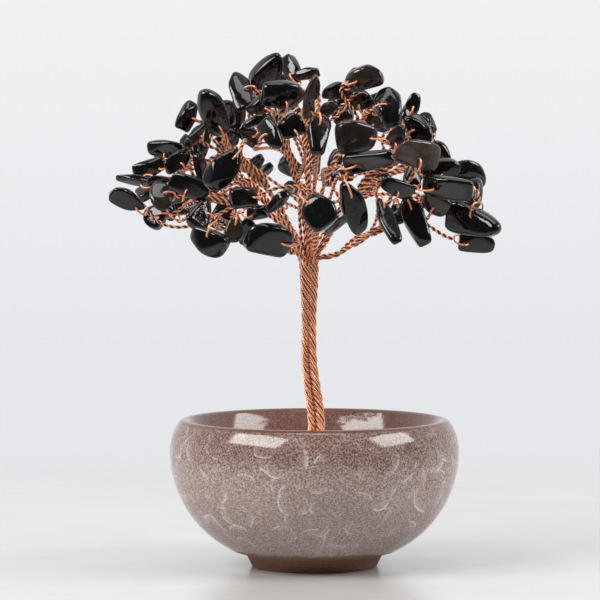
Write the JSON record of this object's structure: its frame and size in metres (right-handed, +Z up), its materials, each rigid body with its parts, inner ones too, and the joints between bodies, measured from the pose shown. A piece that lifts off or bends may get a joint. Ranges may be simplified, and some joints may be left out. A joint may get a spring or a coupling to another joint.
{
  "type": "gemstone tree ornament",
  "caption": "Small tree ornament: drilled black stone chips wired to copper twigs on a twisted copper wire trunk, set in plaster in a round glazed bowl.",
  "frame": {"origin": "centre of the foot ring's flat underside, on the surface that the ornament stands on", "axes": "+Z up along the bowl's axis, +X to the right and -Y towards the viewer of the picture"},
  "size_m": [0.0936, 0.0735, 0.1249],
  "materials": {
    "glaze": "glossy crackle glaze, mauve brown, bare clay foot",
    "plaster": "rough white",
    "copper": "bright drawn copper wire",
    "black_stone": "tumbled and polished"
  },
  "bodies": {
    "tree": {"bowl": "glaze", "plaster": "plaster", "right_low_strand": "copper", "right_strand": "copper", "back_right_strand": "copper", "back_strand": "copper", "back_left_strand": "copper", "left_upper_strand": "copper", "left_strand": "copper", "left_low_strand": "copper", "front_strand": "copper", "crown_right_strand": "copper", "crown_strand": "copper", "crown_left_strand": "copper", "right_low_twigs": "copper", "right_twigs": "copper", "back_right_twigs": "copper", "back_twigs": "copper", "back_left_twigs": "copper", "left_upper_twigs": "copper", "left_twigs": "copper", "left_low_twigs": "copper", "front_twigs": "copper", "crown_right_twigs": "copper", "crown_twigs": "copper", "crown_left_twigs": "copper", "right_low_chips": "black_stone", "right_chips": "black_stone", "back_right_chips": "black_stone", "back_chips": "black_stone", "back_left_chips": "black_stone", "left_upper_chips": "black_stone", "left_chips": "black_stone", "left_low_chips": "black_stone", "front_chips": "black_stone", "crown_right_chips": "black_stone", "crown_chips": "black_stone", "crown_left_chips": "black_stone"},
    "front_inner_pendant": {"front_inner_pendant": "black_stone"},
    "right_pendant": {"right_pendant": "black_stone"},
    "front_pendant": {"front_pendant": "black_stone"},
    "right_inner_pendant": {"right_inner_pendant": "black_stone"}
  },
  "joints": [
    {"name": "front_inner_pendant_swing", "type": "hinge", "parent": "tree", "child": "front_inner_pendant", "pos_m": [0.00693, -0.028, 0.08599], "axis": [0.4237, -0.5065, -0.7509], "range_deg": [-8, 8]},
    {"name": "right_pendant_swing", "type": "hinge", "parent": "tree", "child": "right_pendant", "pos_m": [0.02259, -0.01927, 0.0869], "axis": [0.0935, -0.9698, 0.2251], "range_deg": [-10, 2]},
    {"name": "front_pendant_swing", "type": "hinge", "parent": "tree", "child": "front_pendant", "pos_m": [0.008, -0.03383, 0.0909], "axis": [0.2689, -0.9366, -0.2246], "range_deg": [-8, 8]},
    {"name": "right_inner_pendant_swing", "type": "hinge", "parent": "tree", "child": "right_inner_pendant", "pos_m": [0.0159, -0.02996, 0.08727], "axis": [0.1922, -0.7602, 0.6206], "range_deg": [-8, 8]}
  ]
}
